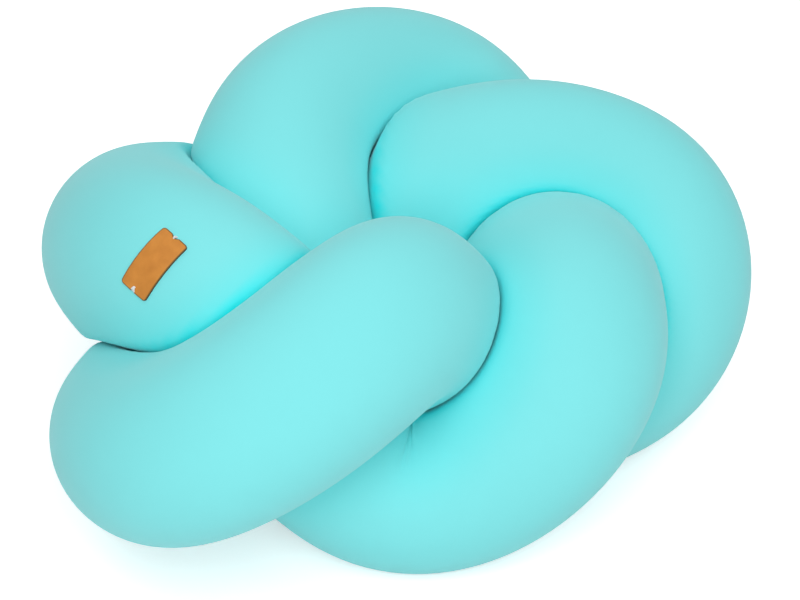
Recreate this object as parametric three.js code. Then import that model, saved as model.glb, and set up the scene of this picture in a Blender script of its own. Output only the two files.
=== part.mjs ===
// Knotted tube cushion: a long stuffed tube, laid into a closed knot of five lobes, with a leather label.
// Millimetres, +Z up. It lies on the floor at z = 0, centred on the origin, with its front towards -Y.
import * as THREE from "three";

// Tube
const TUBE_RADIUS = 64; // the measure for distances along the route
const STRAND_GAP = 2; // left open between two strands that press together
const SQUEEZE_RETURN = 0.35; // share of the thickness lost at a squeeze that comes back beside it
const SHOULDER_SHARPNESS = 20; // how crisply the round side turns into a pressed face
const RINGS = 130;
const RING_SIDES = 32;

// The lobes in their order along the tube, each with the radius of the round tube where nothing presses on
// it, and four stations that its middle passes through. A station is [direction, distance, height]: degrees
// from +X seen from above, millimetres out from the middle of the knot, and millimetres above the floor.
// Along a lobe they are over, on top of the neighbouring lobe, rim, furthest out, under, beneath the other
// neighbour, and inner, where the tube passes the middle of the knot.
const LOBES = {
  back: { radius: 65, through: [[132.5, 129, 173], [81, 224, 125], [44.5, 136, 63], [-10, 116, 126]] },
  front: { radius: 64.5, through: [[-44, 164, 138], [-66.5, 157, 73], [-103, 143, 67], [-137.5, 159, 174]] },
  left: { radius: 70, through: [[-172.5, 188, 164], [151.5, 185, 90], [123, 83, 63], [63, 94, 143]] },
  right: { radius: 65, through: [[23, 194, 133], [-8.5, 166, 73], [-62.5, 69, 80], [-90, 115, 181]] },
  near: { radius: 64.5, through: [[-108.5, 207, 184], [-129, 252, 125], [-151.5, 192, 69], [-145, 95, 74]] },
};

// Route of the tube's middle
const SPLINE_STEPS = 24; // between two stations
const SPLINE_PULLS = 60; // rounds that pull the smooth curve through its stations
const ROUTE_STEPS_PER_RING = 4; // the finer route that the squeeze is measured against

// Squeeze, as multiples of the tube radius along the route
const OWN_STRETCH = 0.35; // nearer than this a point belongs to the same stretch of tube
const OTHER_STRAND_FROM = 1.5; // from here on a point counts as another strand
const OTHER_STRAND_FULL = 2.5;
const SQUEEZE_ROUNDS = 3;
const THICKNESS_SMOOTHING = 6;

// Leather label
const LABEL = {
  length: 50,
  width: 25,
  thickness: 1.5,
  seat: 0.3, // clear of the tube's fabric
  cornerRadius: 2.5,
  notchDepth: 1.6, // in the middle of each short end, for the thread
  notchHalfWidth: 1.8,
  along: 0.3679, // place of its middle along the route, as a share of the whole
  turn: 28, // degrees round the tube from its first side
  lean: -97.5, // degrees that its long side turns away from the tube's own direction
  lengthSteps: 16,
  widthSteps: 12,
};

const FABRIC = { color: 0x82e4e6, roughness: 0.9, metalness: 0 };
const LEATHER = { color: 0xd0893f, roughness: 0.6, metalness: 0 };

const UP = new THREE.Vector3(0, 0, 1);

// A point of the route carries the tube's radius there as its fourth number
function stationPoint([direction, distance, height], radius) {
  const angle = THREE.MathUtils.degToRad(direction);
  return new THREE.Vector4(distance * Math.cos(angle), distance * Math.sin(angle), height, radius);
}

function inSpace(point) {
  return new THREE.Vector3().copy(point);
}

function closedAt(list, index) {
  return list[(index + list.length) % list.length];
}

// A closed cubic spline that passes through every station
function smoothRoute(stations) {
  let pulls = stations.map((station) => station.clone());
  for (let round = 0; round < SPLINE_PULLS; round += 1) {
    pulls = pulls.map((pull, i) => {
      const reached = closedAt(pulls, i - 1).clone();
      reached.addScaledVector(pull, 4).add(closedAt(pulls, i + 1)).divideScalar(6);
      return pull.clone().add(stations[i]).sub(reached);
    });
  }
  const route = [];
  for (let i = 0; i < pulls.length; i += 1) {
    for (let step = 0; step < SPLINE_STEPS; step += 1) {
      const t = step / SPLINE_STEPS;
      const point = new THREE.Vector4(0, 0, 0, 0);
      point.addScaledVector(closedAt(pulls, i - 1), (1 - t) ** 3 / 6);
      point.addScaledVector(pulls[i], (3 * t ** 3 - 6 * t ** 2 + 4) / 6);
      point.addScaledVector(closedAt(pulls, i + 1), (-3 * t ** 3 + 3 * t ** 2 + 3 * t + 1) / 6);
      point.addScaledVector(closedAt(pulls, i + 2), t ** 3 / 6);
      route.push(point);
    }
  }
  return route;
}

// The same route with evenly spaced points, the tube's radius at each, and the route's length
function evenRoute(route, count) {
  const reached = [0];
  route.forEach((point, i) => reached.push(reached[i] + inSpace(point).distanceTo(closedAt(route, i + 1))));
  const length = reached[route.length];
  const points = [];
  let i = 0;
  for (let k = 0; k < count; k += 1) {
    const wanted = (length * k) / count;
    while (reached[i + 1] < wanted) i += 1;
    const share = (wanted - reached[i]) / (reached[i + 1] - reached[i]);
    points.push(route[i].clone().lerp(closedAt(route, i + 1), share));
  }
  return { fineRoute: points.map(inSpace), fineRadii: points.map((point) => point.w), length };
}

// Two sides at right angles to the route at each ring, turned evenly so that the last ring meets the first
function ringSides(rings) {
  const along = rings.map((_, i) => closedAt(rings, i + 1).clone().sub(closedAt(rings, i - 1)).normalize());
  const across = (vector, axis) => vector.clone().addScaledVector(axis, -vector.dot(axis)).normalize();
  const first = [across(UP, along[0])];
  for (let i = 1; i < rings.length; i += 1) first.push(across(first[i - 1], along[i]));
  const back = across(first[rings.length - 1], along[0]);
  const twist = Math.atan2(first[0].clone().cross(back).dot(along[0]), first[0].dot(back));
  first.forEach((side, i) => side.applyAxisAngle(along[i], (-twist * i) / rings.length));
  const second = along.map((axis, i) => axis.clone().cross(first[i]));
  return { along, first, second };
}

function ringDirection(sides, ring, angle) {
  const direction = sides.first[ring].clone().multiplyScalar(Math.cos(angle));
  return direction.addScaledVector(sides.second[ring], Math.sin(angle));
}

// How far the tube can reach from its middle in one direction before it meets the strand beside it. The two
// share the space between them half and half, less the gap.
function reachLimit(fineRoute, spacing, ring, direction) {
  const home = ring * ROUTE_STEPS_PER_RING;
  const toOther = new THREE.Vector3();
  let limit = Infinity;
  fineRoute.forEach((point, k) => {
    const steps = Math.abs(k - home);
    const apart = (Math.min(steps, fineRoute.length - steps) * spacing) / TUBE_RADIUS;
    if (apart <= OWN_STRETCH) return;
    toOther.copy(point).sub(fineRoute[home]);
    const facing = toOther.dot(direction);
    if (facing <= 0) return;
    const otherness = (apart - OTHER_STRAND_FROM) / (OTHER_STRAND_FULL - OTHER_STRAND_FROM);
    const gap = STRAND_GAP * THREE.MathUtils.clamp(otherness, 0, 1);
    const distance = toOther.length();
    limit = Math.min(limit, (distance * (distance - gap)) / (2 * facing));
  });
  return limit;
}

function softSmaller(a, b) {
  return (a ** -SHOULDER_SHARPNESS + b ** -SHOULDER_SHARPNESS) ** (-1 / SHOULDER_SHARPNESS);
}

// Reach of the tube at every ring and side. Where it is squeezed it grows thicker beside the squeeze, because
// the filling has to go somewhere.
function squeezedReaches(radii, limits, floorLimits) {
  let thickness = radii;
  for (let round = 0; round < SQUEEZE_ROUNDS; round += 1) {
    let wanted = thickness.map((radius, i) => {
      const pressed = limits[i].map((limit, j) => Math.min(softSmaller(radius, limit), floorLimits[i][j]));
      const mean = pressed.reduce((sum, reach) => sum + reach ** 2, 0) / RING_SIDES;
      return radius / Math.sqrt(mean);
    });
    wanted = wanted.map((lost, i) => radii[i] * (1 + SQUEEZE_RETURN * (lost - 1)));
    for (let pass = 0; pass < THICKNESS_SMOOTHING; pass += 1) {
      wanted = wanted.map((w, i) => (closedAt(wanted, i - 1) + 2 * w + closedAt(wanted, i + 1)) / 4);
    }
    thickness = wanted;
  }
  const reaches = limits.map((row, i) => row.map((limit) => softSmaller(thickness[i], limit)));
  return { reaches, thickness };
}

function layKnot() {
  const lobeStations = ({ radius, through }) => through.map((station) => stationPoint(station, radius));
  const stations = Object.values(LOBES).flatMap(lobeStations);
  const evenly = evenRoute(smoothRoute(stations), RINGS * ROUTE_STEPS_PER_RING);
  const { fineRoute, fineRadii, length } = evenly;
  const rings = fineRoute.filter((_, k) => k % ROUTE_STEPS_PER_RING === 0);
  const radii = fineRadii.filter((_, k) => k % ROUTE_STEPS_PER_RING === 0);
  const sides = ringSides(rings);
  const angles = Array.from({ length: RING_SIDES }, (_, j) => (2 * Math.PI * j) / RING_SIDES);
  const directions = rings.map((_, i) => angles.map((angle) => ringDirection(sides, i, angle)));
  const spacing = length / fineRoute.length;
  const limits = directions.map((row, i) => row.map((way) => reachLimit(fineRoute, spacing, i, way)));
  const toFloor = (height, way) => (way.z < 0 ? height / -way.z : Infinity);
  const floorLimits = directions.map((row, i) => row.map((way) => toFloor(rings[i].z, way)));
  const { reaches, thickness } = squeezedReaches(radii, limits, floorLimits);
  return { rings, sides, directions, reaches, thickness, fineRoute };
}

function meshGeometry(points, triangles) {
  const geometry = new THREE.BufferGeometry();
  const positions = points.flatMap((point) => point.toArray());
  geometry.setAttribute("position", new THREE.Float32BufferAttribute(positions, 3));
  geometry.setIndex(triangles);
  geometry.computeVertexNormals();
  return geometry;
}

// The tube's skin: rings joined round and round, pressed flat where it lies on the floor
function tubeGeometry(knot) {
  const points = knot.rings.flatMap((middle, i) =>
    knot.directions[i].map((way, j) => {
      const point = middle.clone().addScaledVector(way, knot.reaches[i][j]);
      point.z = Math.max(point.z, 0);
      return point;
    }),
  );
  const at = (i, j) => (i % RINGS) * RING_SIDES + (j % RING_SIDES);
  const triangles = [];
  for (let i = 0; i < RINGS; i += 1) {
    for (let j = 0; j < RING_SIDES; j += 1) {
      triangles.push(at(i, j), at(i + 1, j + 1), at(i + 1, j));
      triangles.push(at(i, j), at(i, j + 1), at(i + 1, j + 1));
    }
  }
  return meshGeometry(points, triangles);
}

// How far the label's end steps back at a distance from its middle line: round corners and the thread's notch
function labelEndInset(y) {
  const { width, cornerRadius, notchDepth, notchHalfWidth } = LABEL;
  const pastCorner = Math.max(0, Math.abs(y) - (width / 2 - cornerRadius));
  const corner = cornerRadius - Math.sqrt(cornerRadius ** 2 - pastCorner ** 2);
  const notch = notchDepth * Math.max(0, 1 - (y / notchHalfWidth) ** 2);
  return corner + notch;
}

// Thickness of the tube between two rings
function thicknessAt(knot, place) {
  const ring = Math.floor(place);
  const [before, after] = [closedAt(knot.thickness, ring), closedAt(knot.thickness, ring + 1)];
  return THREE.MathUtils.lerp(before, after, place - ring);
}

// Lifts a point of the label's flat pattern on to the round tube
function onTube(knot, point, lift) {
  const distances = knot.fineRoute.map((middle) => middle.distanceTo(point));
  const nearest = distances.indexOf(Math.min(...distances));
  const before = closedAt(knot.fineRoute, nearest - 1);
  const step = closedAt(knot.fineRoute, nearest + 1).clone().sub(before).divideScalar(2);
  const past = point.clone().sub(knot.fineRoute[nearest]).dot(step) / step.lengthSq();
  const middle = knot.fineRoute[nearest].clone().addScaledVector(step, past);
  const radius = thicknessAt(knot, (nearest + past) / ROUTE_STEPS_PER_RING);
  return point.clone().sub(middle).setLength(radius + lift).add(middle);
}

function labelGeometry(knot) {
  const { length, width, thickness, seat, lengthSteps, widthSteps } = LABEL;
  const turn = THREE.MathUtils.degToRad(LABEL.turn);
  const place = LABEL.along * RINGS;
  const ring = Math.floor(place);
  const between = (list, share) => list[ring].clone().lerp(closedAt(list, ring + 1), share);
  const along = between(knot.sides.along, place - ring).normalize();
  const out = ringDirection(knot.sides, ring, turn);
  out.lerp(ringDirection(knot.sides, ring + 1, turn), place - ring);
  const longWay = along.applyAxisAngle(out.normalize(), THREE.MathUtils.degToRad(LABEL.lean));
  const shortWay = out.clone().cross(longWay);
  const centre = between(knot.rings, place - ring).addScaledVector(out, thicknessAt(knot, place));
  const points = [];
  for (const lift of [seat, seat + thickness]) {
    for (let i = 0; i <= lengthSteps; i += 1) {
      for (let j = 0; j <= widthSteps; j += 1) {
        const y = (width / 2) * Math.sin((Math.PI / 2) * ((2 * j) / widthSteps - 1));
        const x = ((2 * i) / lengthSteps - 1) * (length / 2 - labelEndInset(y));
        const flat = centre.clone().addScaledVector(longWay, x).addScaledVector(shortWay, y);
        points.push(onTube(knot, flat, lift));
      }
    }
  }
  const layer = (lengthSteps + 1) * (widthSteps + 1);
  const at = (top, i, j) => top * layer + i * (widthSteps + 1) + j;
  const triangles = [];
  const face = (a, b, c, d) => triangles.push(a, b, c, a, c, d);
  for (let i = 0; i < lengthSteps; i += 1) {
    for (let j = 0; j < widthSteps; j += 1) {
      face(at(1, i, j), at(1, i + 1, j), at(1, i + 1, j + 1), at(1, i, j + 1));
      face(at(0, i, j), at(0, i, j + 1), at(0, i + 1, j + 1), at(0, i + 1, j));
    }
    face(at(0, i, 0), at(0, i + 1, 0), at(1, i + 1, 0), at(1, i, 0));
    face(at(1, i, widthSteps), at(1, i + 1, widthSteps), at(0, i + 1, widthSteps), at(0, i, widthSteps));
  }
  for (let j = 0; j < widthSteps; j += 1) {
    face(at(0, 0, j), at(1, 0, j), at(1, 0, j + 1), at(0, 0, j + 1));
    face(at(0, lengthSteps, j), at(0, lengthSteps, j + 1), at(1, lengthSteps, j + 1), at(1, lengthSteps, j));
  }
  return meshGeometry(points, triangles);
}

function namedMesh(name, geometry, look) {
  const mesh = new THREE.Mesh(geometry, new THREE.MeshStandardMaterial(look));
  mesh.name = name;
  return mesh;
}

const knot = layKnot();
const tube = tubeGeometry(knot);
const label = labelGeometry(knot);

// The origin is under the middle of the cushion, on the floor
tube.computeBoundingBox();
const middle = tube.boundingBox.getCenter(new THREE.Vector3());
for (const geometry of [tube, label]) geometry.translate(-middle.x, -middle.y, 0);

const cushion = new THREE.Group();
cushion.add(namedMesh("knotted_tube", tube, FABRIC));
cushion.add(namedMesh("leather_label", label, LEATHER));

export default cushion;
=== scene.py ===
import math

import bpy
import numpy as np
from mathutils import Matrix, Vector
from mathutils.bvhtree import BVHTree


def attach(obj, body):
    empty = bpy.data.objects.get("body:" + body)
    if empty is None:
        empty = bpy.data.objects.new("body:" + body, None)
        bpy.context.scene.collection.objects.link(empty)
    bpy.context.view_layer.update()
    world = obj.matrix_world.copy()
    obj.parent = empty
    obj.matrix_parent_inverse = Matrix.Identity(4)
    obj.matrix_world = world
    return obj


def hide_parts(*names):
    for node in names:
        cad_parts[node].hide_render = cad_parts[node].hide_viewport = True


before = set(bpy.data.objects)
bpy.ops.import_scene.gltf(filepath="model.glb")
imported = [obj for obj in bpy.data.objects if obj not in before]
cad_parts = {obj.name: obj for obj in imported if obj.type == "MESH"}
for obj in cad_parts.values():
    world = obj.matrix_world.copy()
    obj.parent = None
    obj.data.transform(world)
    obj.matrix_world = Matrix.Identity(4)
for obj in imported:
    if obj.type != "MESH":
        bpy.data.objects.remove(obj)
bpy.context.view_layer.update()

# Knotted tube cushion: aqua jersey over a firmly stuffed tube that lies in a closed knot, with a tan leather
# label held by white thread. Metres, +Z up, lying on the floor at z = 0 with its front towards -Y.
MM = 0.001
TINY = 1e-9

# Tube, its usual radius and the gap between two strands side by side
TUBE_RADIUS = 64 * MM
STRAND_GAP = 0.7 * MM
RINGS = 560
RING_SIDES = 112

# The lobes in their order along the tube, with the same values as the CAD. Each has the tube's radius in
# millimetres, then stations: degrees from +X seen from above, millimetres out from the middle of the knot and
# millimetres from the floor to the middle of the tube.
LOBES = {
    "back": (65, (132.5, 129, 173), (81, 224, 125), (44.5, 136, 63), (-10, 116, 126)),
    "front": (64.5, (-44, 164, 138), (-66.5, 157, 73), (-103, 143, 67), (-137.5, 159, 174)),
    "left": (70, (-172.5, 188, 164), (151.5, 185, 90), (123, 83, 63), (63, 94, 143)),
    "right": (65, (23, 194, 133), (-8.5, 166, 73), (-62.5, 69, 80), (-90, 115, 181)),
    "near": (64.5, (-108.5, 207, 184), (-129, 252, 125), (-151.5, 192, 69), (-145, 95, 74)),
}

# Route of the tube's middle
SPLINE_STEPS = 40
SPLINE_PULLS = 60

# Which parts of the route squeeze each other, by their distance along it in tube radii: nearer than the first
# they are one stretch, up to the second the inside of a bend, and past it another strand, with the whole gap
# between them from the third on
OWN_STRETCH = 0.35
OTHER_STRAND_FROM = 1.5
OTHER_STRAND_FULL = 2.5

# Squeeze: the share of the lost room that the tube gains beside it, and how sharp the shoulders are
SQUEEZE_RETURN = 0.35
SQUEEZE_ROUNDS = 3
THICKNESS_SMOOTHING = 110
SHOULDER_SHARPNESS = 40
BEND_SHARPNESS = 36

# Bulge of the skin beside a squeeze, as shares of the tube's thickness
BULGE = 0.06
BULGE_SPREAD = 0.12
BULGE_SMOOTHING = 14

# Corners between lobes where the filling swells out or, below zero, gives way: the place and how far round it
# in millimetres, and how much as a share of the tube's thickness
SWELLS = {
    "near over front": ((14, -160, 122), 34, -0.04),
    "left over near": ((-170, -138, 165), 26, 0.05),
    "right beside back": ((-10, 108, 185), 30, 0.03),
}

# Settling of the jersey in a short cloth simulation, and how stiff the jersey is in it. A point that starts
# lower than the last value lies on the floor and stays there.
SETTLE_FRAMES = 8
SETTLE_QUALITY = 5
SETTLE_HOLD = 0.5
SETTLE_PRESSURE = 4
SETTLE_LIMIT = 1.5 * MM
JERSEY_MASS = 0.3
JERSEY_STRETCH = 15
JERSEY_SHEAR = 5
JERSEY_BEND = 0.5
ON_FLOOR = 0.001 * MM

# Painted crease shade: deeper, more saturated colour beside the creases that stands in for shade and light
# bounced between the strands. How far it reaches, as a share of the tube's thickness, and its strength
PAINTED_CREASE_SHADE_SPREADS = ((0.05, 0.6), (0.13, 0.2), (0.5, 0.2))

# Leather label, sized and placed as in the CAD. Its seat is how far it lies off the tube's skin.
LABEL_LENGTH = 50 * MM
LABEL_WIDTH = 25 * MM
LABEL_THICKNESS = 1.5 * MM
LABEL_SEAT = 0.2 * MM
LABEL_CORNER = 2.5 * MM
LABEL_NOTCH_DEPTH = 1.6 * MM
LABEL_ALONG = 0.3679
LABEL_TURN = 28
LABEL_LEAN = -97.5

# The upper thread draws the leather in, so the dent there is wider than the notch that the CAD cuts
LABEL_UPPER_NOTCH_HALF_WIDTH = 3.4 * MM
LABEL_LOWER_NOTCH_HALF_WIDTH = 1.8 * MM

# Detail of the label's mesh
LABEL_LENGTH_STEPS = 72
LABEL_WIDTH_STEPS = 40
LABEL_EDGE_ROUNDING = 0.3 * MM

# Thread: a few stitches at each end of the label that fan out from a hole in the leather over the notch. Each
# end has its side of the label, the number of stitches, the hole's distance from the notch and the fan's step
# in degrees. No two stitches are the same size, between the smallest and the largest share.
THREAD_RADIUS = 0.38 * MM
THREAD_FLATNESS = 0.75
THREAD_TURNS = 2.5
STITCH_SPACING = 0.24 * MM
STITCH_PAST_END = 0.3 * MM
STITCH_RISE = 1.9 * MM
STITCH_DEPTH = 0.6 * MM
STITCHES = {"upper": (1, 3, 0.9 * MM, 10), "lower": (-1, 6, 2.8 * MM, 8)}
STITCH_STEPS = 24
STITCH_SMALLEST = 0.9
STITCH_LARGEST = 1.12
THREAD_SIDES = 12

# Jersey's rows of stitches
WALES_ROUND_TUBE = 620
COURSES_ALONG_TUBE = 5280

# Grain of each surface, as features in a metre, and the depth of its relief
JERSEY_FUZZ = 900
JERSEY_MOTTLE = 7
JERSEY_RELIEF = 0.15 * MM
LEATHER_PORES = 1400
LEATHER_CLOUDS = 120
LEATHER_RELIEF = 0.12 * MM
EDGE_FIBRES = 1500
THREAD_FIBRES = 6000
THREAD_RELIEF = 0.05 * MM

# Looks, as linear colours
JERSEY_DEEP = (0.215, 0.775, 0.79, 1)
JERSEY_LIGHT = (0.23, 0.80, 0.815, 1)
# Painted crease shade: the colour that stands in for shade and light bounced between the strands beside the
# creases
JERSEY_PAINTED_CREASE_SHADE = (0.01, 0.80, 0.83, 1)
JERSEY_SHEEN = 0.26
JERSEY_SHEEN_TINT = (0.9, 0.95, 0.95, 1)
LEATHER_DEEP = (0.50, 0.175, 0.026, 1)
LEATHER_LIGHT = (0.75, 0.31, 0.055, 1)
LEATHER_RIM = (0.17, 0.085, 0.022, 1)
LEATHER_RIM_FROM = 0.34 * MM
LEATHER_RIM_TO = 1.19 * MM
EDGE_DEEP = (0.05, 0.02, 0.008, 1)
EDGE_LIGHT = (0.10, 0.04, 0.015, 1)
THREAD_COLOUR = (0.86, 0.85, 0.81, 1)
FLOOR_HALF_SIZE = 6
FLOOR_COLOUR = (0.92, 0.92, 0.92, 1)
FLOOR_GLOW = 0.46
FLOOR_GLOW_COLOUR = (1, 0.95, 0.95, 1)

# Light: soft boxes that aim at the cushion, each with the way it stands and its power in watts
WORLD_LIGHT = 0.17
SOFTBOX_SIZE = 1.8
SOFTBOX_DISTANCE = 2.6
SOFTBOXES = {
    "front": ((0, -1, 1), 46),
    "above": ((0, -0.5, 1), 4.6),
    "right": ((1, 0, 0.8), 6.4),
    "left_low": ((-1, -0.3, 0.25), 2.4),
    "back": ((0, 1, 0.9), 5),
    "back_left": ((-1, 1, 1.2), 13),
    "back_right": ((1, 1, 1.2), 10),
}

# Camera at the photograph's angle, with the picture's scale at the point it aims at
CAMERA_AIM = (-0.0005, 0.0123, 0.090)
CAMERA_DISTANCE = 2.0
CAMERA_RISE = 38
PIXELS_PER_METRE = 1330
PICTURE_WIDTH = 800
SENSOR_WIDTH = 36


def stations():
    """The points that the tube's middle passes through, each with the tube's radius there."""
    rows = np.array([(*place, radius) for radius, *places in LOBES.values() for place in places])
    angle, out, height, radius = rows.T
    angle = np.radians(angle)
    return np.stack([out * np.cos(angle), out * np.sin(angle), height, radius], 1) * MM


def smooth_route(through):
    """A closed cubic spline that passes through every station."""
    pulls = through.copy()
    for _ in range(SPLINE_PULLS):
        pulls = pulls + through - (np.roll(pulls, 1, 0) + 4 * pulls + np.roll(pulls, -1, 0)) / 6
    t = (np.arange(SPLINE_STEPS) / SPLINE_STEPS)[:, None]
    shares = [(1 - t) ** 3, 3 * t**3 - 6 * t**2 + 4, -3 * t**3 + 3 * t**2 + 3 * t + 1, t**3]
    spans = [
        sum(share * pulls[(i + k) % len(pulls)] for share, k in zip(shares, (-1, 0, 1, 2))) / 6
        for i in range(len(pulls))
    ]
    return np.concatenate(spans)


def even_route(route, count):
    """The same closed route with evenly spaced points, the tube's radius at each, and the route's length."""
    closed = np.vstack([route, route[:1]])
    reached = np.concatenate([[0], np.cumsum(np.linalg.norm(np.diff(closed[:, :3], axis=0), axis=1))])
    wanted = np.arange(count) * reached[-1] / count
    even = np.stack([np.interp(wanted, reached, column) for column in closed.T], 1)
    return even[:, :3], even[:, 3], reached[-1]


def unit(vectors):
    """The same vectors at a length of one."""
    return vectors / np.linalg.norm(vectors, axis=-1, keepdims=True)


def ring_sides(rings):
    """Two sides at right angles to the route at each ring, turned evenly so that the last meets the first."""
    along = unit(np.roll(rings, -1, 0) - np.roll(rings, 1, 0))
    first = np.zeros_like(rings)
    first[0] = unit(np.array([0.0, 0.0, 1.0]) - along[0] * along[0, 2])
    for i in range(1, len(rings)):
        first[i] = unit(first[i - 1] - along[i] * (first[i - 1] @ along[i]))
    back = unit(first[-1] - along[0] * (first[-1] @ along[0]))
    twist = math.atan2(np.cross(first[0], back) @ along[0], first[0] @ back)
    turn = (-twist * np.arange(len(rings)) / len(rings))[:, None]
    first = np.cos(turn) * first + np.sin(turn) * np.cross(along, first)
    return along, first, np.cross(along, first)


def reach_limits(rings, ways, spacing):
    """How far each ring reaches each way before it meets the strand beside it, half and half less the gap.

    Also how far before the tube meets itself in the inside of a bend, which makes a rounder hollow.
    """
    count = len(rings)
    limits = np.full(ways.shape[:2], np.inf)
    bend_limits = limits.copy()
    for i in range(count):
        to_other = rings - rings[i]
        steps = np.abs(np.arange(count) - i)
        apart = np.minimum(steps, count - steps) * spacing / TUBE_RADIUS
        otherness = np.clip((apart - OTHER_STRAND_FROM) / (OTHER_STRAND_FULL - OTHER_STRAND_FROM), 0, 1)
        distance = np.linalg.norm(to_other, axis=1)
        room = distance * (distance - STRAND_GAP * otherness) / 2
        facing = ways[i] @ to_other.T
        reach = np.where(facing > TINY, room / np.maximum(facing, TINY), np.inf)
        limits[i] = reach[:, otherness > 0].min(1)
        bend_limits[i] = reach[:, (apart > OWN_STRETCH) & (otherness == 0)].min(1)
    return limits, bend_limits


def soft_smaller(a, b, sharpness):
    """The smaller of two lengths, with a soft turn from one to the other."""
    return (a**-sharpness + b**-sharpness) ** (-1 / sharpness)


def held_back(reach, limits, bend_limits):
    """A reach as far as the bend and the strand beside it leave room."""
    return soft_smaller(soft_smaller(reach, bend_limits, BEND_SHARPNESS), limits, SHOULDER_SHARPNESS)


def squeezed_reaches(rings, radii, ways, limits, bend_limits):
    """Reach of the tube at every ring and side. Where it is squeezed it grows thicker beside the squeeze.
    Also the share of painted crease shade at each point.
    """
    down = np.maximum(-ways[:, :, 2], TINY)
    floor_limits = np.where(ways[:, :, 2] < 0, rings[:, None, 2] / down, np.inf)
    thickness = radii
    for _ in range(SQUEEZE_ROUNDS):
        pressed = np.minimum(held_back(thickness[:, None], limits, bend_limits), floor_limits)
        wanted = thickness / np.sqrt((pressed**2).mean(1))
        wanted = radii * (1 + SQUEEZE_RETURN * (wanted - 1))
        for _ in range(THICKNESS_SMOOTHING):
            wanted = (np.roll(wanted, 1) + 2 * wanted + np.roll(wanted, -1)) / 4
        thickness = wanted
    free = np.maximum(0, limits / thickness[:, None] - 1)
    bulge = BULGE * np.exp(-(free / BULGE_SPREAD) ** 2)
    for _ in range(BULGE_SMOOTHING):
        for axis in (0, 1):
            bulge = (np.roll(bulge, 1, axis) + 2 * bulge + np.roll(bulge, -1, axis)) / 4
    skin = rings[:, None] + thickness[:, None, None] * ways
    for place, spread, swell in SWELLS.values():
        bulge += swell * np.exp(-(((skin - np.multiply(place, MM)) / (spread * MM)) ** 2).sum(2))
    # Painted crease shade: how strongly the colour beside each crease stands in for shade and light bounced
    # between the strands
    painted_crease_shade = sum(share * np.exp(-(free / spread) ** 2) for spread, share in PAINTED_CREASE_SHADE_SPREADS)
    return held_back(thickness[:, None] * (1 + bulge), limits, bend_limits), thickness, painted_crease_shade


def lay_knot():
    """The tube's skin before the fabric settles, ring by ring, with the origin under its middle."""
    rings, radii, length = even_route(smooth_route(stations()), RINGS)
    along, first, second = ring_sides(rings)
    angles = (2 * np.pi * np.arange(RING_SIDES) / RING_SIDES)[None, :, None]
    ways = np.cos(angles) * first[:, None] + np.sin(angles) * second[:, None]
    limits, bend_limits = reach_limits(rings, ways, length / RINGS)
    reaches, thickness, painted_crease_shade = squeezed_reaches(rings, radii, ways, limits, bend_limits)
    skin = rings[:, None] + reaches[:, :, None] * ways
    skin[:, :, 2] = np.maximum(skin[:, :, 2], 0)
    flat = skin.reshape(-1, 3)
    middle = (flat.min(0) + flat.max(0)) / 2 * (1, 1, 0)
    return dict(
        skin=skin - middle, rings=rings - middle, along=along, first=first, second=second,
        thickness=thickness, length=length, painted_crease_shade=painted_crease_shade,
    )


def new_piece(name, points, faces):
    """A smooth-shaded mesh object at the origin."""
    mesh = bpy.data.meshes.new(name)
    mesh.from_pydata([tuple(point) for point in points], [], [tuple(face) for face in faces])
    mesh.polygons.foreach_set("use_smooth", [True] * len(mesh.polygons))
    mesh.update()
    piece = bpy.data.objects.new(name, mesh)
    bpy.context.scene.collection.objects.link(piece)
    return piece


def tube_piece(knot):
    """The tube as rings of quads, with a UV map in metres: u round the tube, v along it."""
    ring, side = np.meshgrid(np.arange(RINGS), np.arange(RING_SIDES), indexing="ij")
    next_ring, next_side = (ring + 1) % RINGS, (side + 1) % RING_SIDES
    corners = [(ring, side), (ring, next_side), (next_ring, next_side), (next_ring, side)]
    faces = np.stack([i * RING_SIDES + j for i, j in corners], -1).reshape(-1, 4)
    piece = new_piece("stuffed_tube", knot["skin"].reshape(-1, 3), faces)
    round_step = 2 * math.pi * TUBE_RADIUS / RING_SIDES
    along_step = knot["length"] / RINGS
    u = np.stack([side, side + 1, side + 1, side], -1) * round_step
    v = np.stack([ring, ring, ring + 1, ring + 1], -1) * along_step
    layer = piece.data.uv_layers.new(name="cloth")
    layer.data.foreach_set("uv", np.stack([u, v], -1).ravel())
    # Painted crease shade as a point attribute, which the jersey's colour reads
    piece.data.attributes.new("painted_crease_shade", "FLOAT", "POINT").data.foreach_set("value", knot["painted_crease_shade"].ravel())
    return piece


def places_of(mesh):
    """Every vertex's place as rows of an array."""
    places = np.zeros(len(mesh.vertices) * 3)
    mesh.vertices.foreach_get("co", places)
    return places.reshape(-1, 3)


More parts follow.
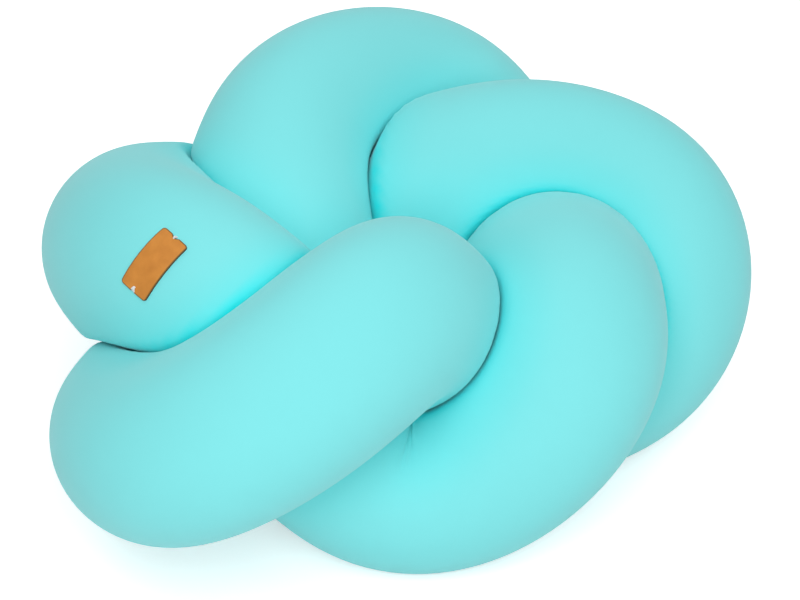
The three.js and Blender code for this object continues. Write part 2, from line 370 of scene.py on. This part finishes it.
def settle(piece):
    """Lets the stuffed jersey settle in a short cloth simulation, with its moves kept small."""
    scene = bpy.context.scene
    start = places_of(piece.data)
    hold = piece.vertex_groups.new(name="hold")
    hold.add(list(range(len(start))), SETTLE_HOLD, "REPLACE")
    cloth = piece.modifiers.new("jersey", "CLOTH")
    fabric, contact = cloth.settings, cloth.collision_settings
    fabric.vertex_group_mass = "hold"
    fabric.quality = SETTLE_QUALITY
    fabric.mass = JERSEY_MASS
    fabric.tension_stiffness = JERSEY_STRETCH
    fabric.compression_stiffness = JERSEY_STRETCH
    fabric.shear_stiffness = JERSEY_SHEAR
    fabric.bending_stiffness = JERSEY_BEND
    fabric.use_pressure = True
    fabric.uniform_pressure_force = SETTLE_PRESSURE
    fabric.effector_weights.gravity = 0
    contact.use_collision = False
    contact.use_self_collision = True
    contact.self_distance_min = STRAND_GAP
    contact.self_friction = 0
    cloth.point_cache.frame_start = 1
    cloth.point_cache.frame_end = SETTLE_FRAMES
    for frame_number in range(1, SETTLE_FRAMES + 1):
        scene.frame_set(frame_number)
    settled = places_of(piece.evaluated_get(bpy.context.evaluated_depsgraph_get()).data)
    piece.modifiers.remove(cloth)
    piece.vertex_groups.remove(hold)
    scene.frame_set(1)
    move = settled - start
    moved = np.linalg.norm(move, axis=1, keepdims=True)
    settled = start + move * np.minimum(1, SETTLE_LIMIT / np.maximum(moved, TINY))
    settled[:, 2] = np.where(start[:, 2] < ON_FLOOR, 0, np.maximum(settled[:, 2], 0))
    piece.data.vertices.foreach_set("co", settled.ravel())
    piece.data.update()


def skin_tree(tube):
    """The finished tube's surface, for finding where things lie on it."""
    points = [vertex.co.copy() for vertex in tube.data.vertices]
    return BVHTree.FromPolygons(points, [tuple(face.vertices) for face in tube.data.polygons])


def on_skin(knot, skin, point, lift):
    """Lifts a point on to the tube's surface, straight out from the tube's middle."""
    rings = knot["rings"]
    nearest = np.linalg.norm(rings - point, axis=1).argmin()
    along = knot["along"][nearest]
    middle = rings[nearest] + along * ((point - rings[nearest]) @ along)
    out = unit(point - middle)
    hit = skin.ray_cast(Vector(middle), Vector(out))[0]
    return np.array(hit) + out * lift, out


def label_frame(knot):
    """The label's middle, its long and short ways, and the way out of the tube there."""
    place = LABEL_ALONG * RINGS
    ring, share = int(place), place % 1
    turn, lean = math.radians(LABEL_TURN), math.radians(LABEL_LEAN)

    def between(rows):
        return rows[ring] * (1 - share) + rows[ring + 1] * share

    along = unit(between(knot["along"]))
    out = unit(math.cos(turn) * between(knot["first"]) + math.sin(turn) * between(knot["second"]))
    long_way = math.cos(lean) * along + math.sin(lean) * np.cross(out, along)
    short_way = np.cross(out, long_way)
    centre = between(knot["rings"]) + out * between(knot["thickness"])
    return centre, long_way, short_way, out


def label_end_inset(y, notch_half_width):
    """How far the label's end steps back at a distance from its middle line."""
    past_corner = np.maximum(0, np.abs(y) - (LABEL_WIDTH / 2 - LABEL_CORNER))
    corner = LABEL_CORNER - np.sqrt(np.maximum(0, LABEL_CORNER**2 - past_corner**2))
    notch = LABEL_NOTCH_DEPTH * np.maximum(0, 1 - (y / notch_half_width) ** 2)
    return corner + notch


def edge_dense_steps(steps):
    """Places from -1 to 1 that lie closer together towards both ends."""
    return np.sin(math.pi / 2 * (2 * np.arange(steps + 1) / steps - 1))


def label_layer(knot, skin, margin, lift):
    """One layer of the label, a margin inside its outline and lifted off the tube, and each point's place."""
    centre, long_way, short_way, _ = label_frame(knot)
    places = edge_dense_steps(LABEL_LENGTH_STEPS), edge_dense_steps(LABEL_WIDTH_STEPS)
    along, across = np.meshgrid(*places, indexing="ij")
    notch_half_width = np.where(along > 0, LABEL_UPPER_NOTCH_HALF_WIDTH, LABEL_LOWER_NOTCH_HALF_WIDTH)
    end = LABEL_LENGTH / 2 - label_end_inset(LABEL_WIDTH / 2 * across, notch_half_width)
    x = along * (end - margin)
    y = across * (LABEL_WIDTH / 2 - margin)
    from_edge = np.minimum(end - np.abs(x), LABEL_WIDTH / 2 - np.abs(y))
    flat = (centre + x[..., None] * long_way + y[..., None] * short_way).reshape(-1, 3)
    return np.array([on_skin(knot, skin, point, lift)[0] for point in flat]), from_edge.ravel()


def label_piece(knot, skin):
    """The leather label, bent round the tube, with round corners and a notch for the thread at each end."""
    rows, columns = LABEL_LENGTH_STEPS + 1, LABEL_WIDTH_STEPS + 1
    bottom = label_layer(knot, skin, 0, LABEL_SEAT)
    rim = label_layer(knot, skin, 0, LABEL_SEAT + (LABEL_THICKNESS - LABEL_EDGE_ROUNDING))
    top = label_layer(knot, skin, LABEL_EDGE_ROUNDING, LABEL_SEAT + LABEL_THICKNESS)
    index = np.arange(rows * columns).reshape(rows, columns)
    border = np.concatenate([index[:-1, 0], index[-1, :-1], index[:0:-1, -1], index[0, :0:-1]])
    points = np.concatenate([bottom[0], rim[0][border], top[0]])
    from_edge = np.concatenate([bottom[1], rim[1][border], top[1]])
    first_rim, first_top = rows * columns, rows * columns + len(border)
    quads = np.stack([index[:-1, :-1], index[1:, :-1], index[1:, 1:], index[:-1, 1:]], -1).reshape(-1, 4)
    loops = [border, first_rim + np.arange(len(border)), first_top + border]
    sides = [
        np.stack([low, np.roll(low, -1), np.roll(high, -1), high], 1) for low, high in zip(loops, loops[1:])
    ]
    faces = np.concatenate([first_top + quads, quads[:, ::-1], *sides])
    piece = new_piece("leather_label_sheet", points, faces)
    piece.data.materials.append(leather())
    piece.data.materials.append(cut_edge())
    slots = np.zeros(len(piece.data.polygons), int)
    slots[2 * len(quads):2 * len(quads) + len(border)] = 1
    piece.data.polygons.foreach_set("material_index", slots)
    piece.data.attributes.new("from_edge", "FLOAT", "POINT").data.foreach_set("value", from_edge)
    return piece


def stitch_row(material):
    """The nodes that sew a row of stitches, each a twisted thread arching from the leather to the fabric."""
    tree = bpy.data.node_groups.new("stitch_row", "GeometryNodeTree")
    tree.interface.new_socket("Geometry", in_out="OUTPUT", socket_type="NodeSocketGeometry")
    wanted = {
        "First stitch": "Vector", "Step": "Vector", "Leather end": "Vector", "Fabric end": "Vector",
        "Rise": "Vector", "Stitches": "Int", "Fan": "Float", "Thread radius": "Float", "Seed": "Int",
    }
    for name, kind in wanted.items():
        tree.interface.new_socket(name, in_out="INPUT", socket_type="NodeSocket" + kind)
    given = put(tree, "NodeGroupInput").outputs
    over_leather, over_fabric = [
        put(tree, "ShaderNodeVectorMath", {0: given[end], 1: given["Rise"]}).outputs[0]
        for end in ("Leather end", "Fabric end")
    ]
    arch = put(tree, "GeometryNodeCurvePrimitiveBezierSegment", {
        "Resolution": STITCH_STEPS, "Start": given["Leather end"], "Start Handle": over_leather,
        "End Handle": over_fabric, "End": given["Fabric end"],
    }).outputs[0]
    share = put(tree, "GeometryNodeSplineParameter").outputs["Factor"]
    twist = calc(tree, "MULTIPLY", share, 2 * math.pi * THREAD_TURNS)
    twisted = put(tree, "GeometryNodeSetCurveTilt", {"Curve": arch, "Tilt": twist}).outputs[0]
    circle = put(tree, "GeometryNodeCurvePrimitiveCircle", {
        "Resolution": THREAD_SIDES, "Radius": given["Thread radius"],
    }).outputs[0]
    flattened = put(tree, "GeometryNodeTransform", {
        "Geometry": circle, "Scale": (1, THREAD_FLATNESS, 1),
    }).outputs[0]
    strand = put(tree, "GeometryNodeCurveToMesh", {
        "Curve": twisted, "Profile Curve": flattened, "Fill Caps": True,
    }).outputs[0]
    row = put(tree, "GeometryNodeMeshLine", {
        "Count": given["Stitches"], "Start Location": given["First stitch"], "Offset": given["Step"],
    }).outputs[0]
    uneven = put(tree, "FunctionNodeRandomValue", {
        "Min": (STITCH_SMALLEST,) * 3, "Max": (STITCH_LARGEST,) * 3, "Seed": given["Seed"],
    }, data_type="FLOAT_VECTOR").outputs["Value"]
    number = put(tree, "GeometryNodeInputIndex").outputs[0]
    middle = calc(tree, "DIVIDE", calc(tree, "SUBTRACT", given["Stitches"], 1.0), 2.0)
    from_middle = calc(tree, "SUBTRACT", number, middle)
    turned = put(tree, "FunctionNodeAxisAngleToRotation", {
        "Axis": given["Rise"], "Angle": calc(tree, "MULTIPLY", from_middle, given["Fan"]),
    }).outputs[0]
    sewn = put(tree, "GeometryNodeInstanceOnPoints", {
        "Points": row, "Instance": strand, "Rotation": turned, "Scale": uneven,
    }).outputs[0]
    real = put(tree, "GeometryNodeRealizeInstances", {"Geometry": sewn}).outputs[0]
    smooth = put(tree, "GeometryNodeSetShadeSmooth", {"Geometry": real}).outputs[0]
    done = put(tree, "GeometryNodeSetMaterial", {"Geometry": smooth, "Material": material}).outputs[0]
    put(tree, "NodeGroupOutput", {"Geometry": done})
    return tree


def label_thread(knot, skin):
    """The white stitches at both ends of the label, as one plain mesh."""
    centre, long_way, short_way, _ = label_frame(knot)
    tree = stitch_row(white_thread())
    sockets = {item.name: item.identifier for item in tree.interface.items_tree if item.in_out == "INPUT"}
    points, faces = [], []
    for seed, (end, count, from_notch, fan) in enumerate(STITCHES.values()):
        hole = centre + end * (LABEL_LENGTH / 2 - LABEL_NOTCH_DEPTH - from_notch) * long_way
        past = centre + end * (LABEL_LENGTH / 2 + STITCH_PAST_END) * long_way
        leather_end, out = on_skin(knot, skin, hole, LABEL_SEAT + LABEL_THICKNESS - STITCH_DEPTH)
        fabric_end, _ = on_skin(knot, skin, past, -STITCH_DEPTH)
        first = leather_end - short_way * STITCH_SPACING * (count - 1) / 2
        holder = bpy.data.objects.new("stitches", bpy.data.meshes.new("stitches"))
        bpy.context.scene.collection.objects.link(holder)
        sewing = holder.modifiers.new("stitches", "NODES")
        sewing.node_group = tree
        values = {
            "First stitch": first, "Step": short_way * STITCH_SPACING, "Leather end": (0.0, 0.0, 0.0),
            "Fabric end": fabric_end - leather_end, "Rise": out * (STITCH_RISE + STITCH_DEPTH),
            "Stitches": count, "Fan": end * math.radians(fan), "Thread radius": THREAD_RADIUS, "Seed": seed,
        }
        for name, value in values.items():
            sewing[sockets[name]] = [float(part) for part in value] if np.ndim(value) else value
        evaluated = holder.evaluated_get(bpy.context.evaluated_depsgraph_get())
        mesh = bpy.data.meshes.new_from_object(evaluated)
        faces += [tuple(len(points) + corner for corner in face.vertices) for face in mesh.polygons]
        points += [vertex.co.copy() for vertex in mesh.vertices]
        # Known fault: nodes put an empty slot ahead of the thread's own, and this takes the empty one. So the
        # thread renders in the default pale grey. materials[-1] would give it its white.
        material = mesh.materials[0]
        bpy.data.objects.remove(holder)
    piece = new_piece("label_thread", points, faces)
    piece.data.materials.append(material)
    return piece


def put(tree, kind, inputs=None, **settings):
    """A node of the tree. inputs holds a value or another node's socket for each of its inputs."""
    made = tree.nodes.new(kind)
    for name, value in settings.items():
        setattr(made, name, value)
    for key, value in (inputs or {}).items():
        if isinstance(value, bpy.types.NodeSocket):
            tree.links.new(value, made.inputs[key])
        else:
            made.inputs[key].default_value = value
    return made


def calc(tree, operation, *values):
    """The result of a Math node."""
    return put(tree, "ShaderNodeMath", dict(enumerate(values)), operation=operation).outputs[0]


def new_material(name, **finish):
    """A material with its tree and its Principled shader. finish holds the shader's even values."""
    material = bpy.data.materials.new(name)
    material.use_nodes = True
    shader = material.node_tree.nodes["Principled BSDF"]
    for socket, value in finish.items():
        shader.inputs[socket.replace("_", " ")].default_value = value
    return material, material.node_tree, shader


def jersey(tube_length):
    """Fine plain jersey: rows of small V stitches with a soft fuzz, and painted crease shade beside the
    creases.
    """
    material, tree, shader = new_material(
        "aqua_jersey", Roughness=0.9, Specular_IOR_Level=0.15,
        Sheen_Weight=JERSEY_SHEEN, Sheen_Roughness=0.5, Sheen_Tint=JERSEY_SHEEN_TINT,
    )
    cloth = put(tree, "ShaderNodeUVMap", uv_map="cloth").outputs["UV"]
    split = put(tree, "ShaderNodeSeparateXYZ", {0: cloth}).outputs
    wales = calc(tree, "MULTIPLY", split[0], WALES_ROUND_TUBE / (2 * math.pi * TUBE_RADIUS))
    courses = calc(tree, "MULTIPLY", split[1], COURSES_ALONG_TUBE / tube_length)
    from_wale = calc(tree, "ABSOLUTE", calc(tree, "SUBTRACT", calc(tree, "FRACT", wales), 0.5))
    slanted = calc(tree, "ADD", courses, from_wale)
    yarn = calc(tree, "COSINE", calc(tree, "MULTIPLY", slanted, 2 * math.pi))
    between_wales = calc(tree, "COSINE", calc(tree, "MULTIPLY", wales, 2 * math.pi))
    stitches = calc(tree, "SUBTRACT", calc(tree, "MULTIPLY", yarn, 0.4), between_wales)
    place = put(tree, "ShaderNodeTexCoord").outputs["Object"]
    fuzz = put(tree, "ShaderNodeTexNoise", {
        "Vector": place, "Scale": JERSEY_FUZZ, "Detail": 3.0,
    }).outputs["Fac"]
    height = calc(tree, "ADD", calc(tree, "MULTIPLY", stitches, 0.25), fuzz)
    bump = put(tree, "ShaderNodeBump", {"Height": height, "Strength": 0.25, "Distance": JERSEY_RELIEF})
    mottle = put(tree, "ShaderNodeTexNoise", {
        "Vector": place, "Scale": JERSEY_MOTTLE, "Detail": 4.0,
    }).outputs["Fac"]
    tone = put(tree, "ShaderNodeMix", {0: mottle, 6: JERSEY_DEEP, 7: JERSEY_LIGHT}, data_type="RGBA")
    # Painted crease shade: a deeper, more saturated colour beside the creases that stands in for shade and
    # light bounced between the strands
    painted_crease_shade = put(tree, "ShaderNodeAttribute", attribute_name="painted_crease_shade").outputs["Fac"]
    painted_crease_shade_tone = put(tree, "ShaderNodeMix", {0: painted_crease_shade, 6: tone.outputs[2], 7: JERSEY_PAINTED_CREASE_SHADE}, data_type="RGBA")
    tree.links.new(painted_crease_shade_tone.outputs[2], shader.inputs["Base Color"])
    tree.links.new(bump.outputs[0], shader.inputs["Normal"])
    return material


def leather():
    """Smooth tan leather with a fine grain."""
    material, tree, shader = new_material("tan_leather", Roughness=0.55, Specular_IOR_Level=0.3)
    place = put(tree, "ShaderNodeTexCoord").outputs["Object"]
    pores = put(tree, "ShaderNodeTexVoronoi", {"Vector": place, "Scale": LEATHER_PORES}).outputs["Distance"]
    cloud = put(tree, "ShaderNodeTexNoise", {
        "Vector": place, "Scale": LEATHER_CLOUDS, "Detail": 5.0,
    }).outputs["Fac"]
    height = calc(tree, "ADD", calc(tree, "MULTIPLY", pores, 0.6), cloud)
    bump = put(tree, "ShaderNodeBump", {"Height": height, "Strength": 0.35, "Distance": LEATHER_RELIEF})
    tone = put(tree, "ShaderNodeMix", {0: cloud, 6: LEATHER_DEEP, 7: LEATHER_LIGHT}, data_type="RGBA")
    from_edge = put(tree, "ShaderNodeAttribute", attribute_name="from_edge").outputs["Fac"]
    inside = put(tree, "ShaderNodeMapRange", {
        "Value": from_edge, "From Min": LEATHER_RIM_FROM, "From Max": LEATHER_RIM_TO,
    }, interpolation_type="SMOOTHSTEP").outputs[0]
    rimmed = put(tree, "ShaderNodeMix", {0: inside, 6: LEATHER_RIM, 7: tone.outputs[2]}, data_type="RGBA")
    tree.links.new(rimmed.outputs[2], shader.inputs["Base Color"])
    tree.links.new(bump.outputs[0], shader.inputs["Normal"])
    return material


def cut_edge():
    """The label's burnt dark edge."""
    material, tree, shader = new_material("dark_cut_edge", Roughness=0.7)
    place = put(tree, "ShaderNodeTexCoord").outputs["Object"]
    fibres = put(tree, "ShaderNodeTexNoise", {"Vector": place, "Scale": EDGE_FIBRES}).outputs["Fac"]
    tone = put(tree, "ShaderNodeMix", {0: fibres, 6: EDGE_DEEP, 7: EDGE_LIGHT}, data_type="RGBA")
    tree.links.new(tone.outputs[2], shader.inputs["Base Color"])
    return material


def white_thread():
    """Matt white sewing thread with fine fibres."""
    material, tree, shader = new_material(
        "white_thread", Base_Color=THREAD_COLOUR, Roughness=0.7, Sheen_Weight=0.2,
    )
    place = put(tree, "ShaderNodeTexCoord").outputs["Object"]
    fibres = put(tree, "ShaderNodeTexNoise", {
        "Vector": place, "Scale": THREAD_FIBRES, "Detail": 2.0,
    }).outputs["Fac"]
    bump = put(tree, "ShaderNodeBump", {"Height": fibres, "Strength": 0.3, "Distance": THREAD_RELIEF})
    tree.links.new(bump.outputs[0], shader.inputs["Normal"])
    return material


def pale_floor():
    """A white floor, a little overexposed as in the photograph without lighting the cushion from below."""
    material, tree, shader = new_material(
        "pale_floor", Base_Color=FLOOR_COLOUR, Roughness=0.9, Specular_IOR_Level=0.1,
        Emission_Color=FLOOR_GLOW_COLOUR,
    )
    seen = put(tree, "ShaderNodeLightPath").outputs["Is Camera Ray"]
    tree.links.new(calc(tree, "MULTIPLY", seen, FLOOR_GLOW), shader.inputs["Emission Strength"])
    return material


def camera():
    """The camera, at the photograph's viewing angle."""
    lens = bpy.data.cameras.new("camera")
    lens.sensor_width = SENSOR_WIDTH
    lens.lens = SENSOR_WIDTH * PIXELS_PER_METRE * CAMERA_DISTANCE / PICTURE_WIDTH
    seen_from = bpy.data.objects.new("camera", lens)
    rise = math.radians(CAMERA_RISE)
    back = Vector((0, -math.cos(rise), math.sin(rise)))
    seen_from.location = Vector(CAMERA_AIM) + back * CAMERA_DISTANCE
    seen_from.rotation_euler = (-back).to_track_quat("-Z", "Y").to_euler()
    bpy.context.scene.collection.objects.link(seen_from)
    bpy.context.scene.camera = seen_from


def studio():
    """A pale floor, light from all round and the soft boxes."""
    mesh = bpy.data.meshes.new("floor")
    corners = [(x * FLOOR_HALF_SIZE, y * FLOOR_HALF_SIZE, 0) for x, y in ((-1, -1), (1, -1), (1, 1), (-1, 1))]
    mesh.from_pydata(corners, [], [(0, 1, 2, 3)])
    mesh.materials.append(pale_floor())
    floor = bpy.data.objects.new("floor", mesh)
    bpy.context.scene.collection.objects.link(floor)
    world = bpy.data.worlds.new("studio")
    world.use_nodes = True
    world.node_tree.nodes["Background"].inputs["Color"].default_value = (1, 1, 1, 1)
    world.node_tree.nodes["Background"].inputs["Strength"].default_value = WORLD_LIGHT
    bpy.context.scene.world = world
    for name, (way, power) in SOFTBOXES.items():
        softbox = bpy.data.lights.new(name, "AREA")
        softbox.energy = power
        softbox.size = SOFTBOX_SIZE
        way = Vector(way).normalized()
        stand = bpy.data.objects.new(name, softbox)
        stand.location = Vector(CAMERA_AIM) + way * SOFTBOX_DISTANCE
        stand.rotation_euler = (-way).to_track_quat("-Z", "Y").to_euler()
        bpy.context.scene.collection.objects.link(stand)
    bpy.context.scene.view_settings.view_transform = "Standard"


camera()
studio()
knot = lay_knot()
tube = tube_piece(knot)
tube.data.materials.append(jersey(knot["length"]))
settle(tube)
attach(tube, "root")
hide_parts("knotted_tube")

skin = skin_tree(tube)
thread = label_thread(knot, skin)
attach(thread, "root")

label = label_piece(knot, skin)
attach(label, "root")
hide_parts("leather_label")
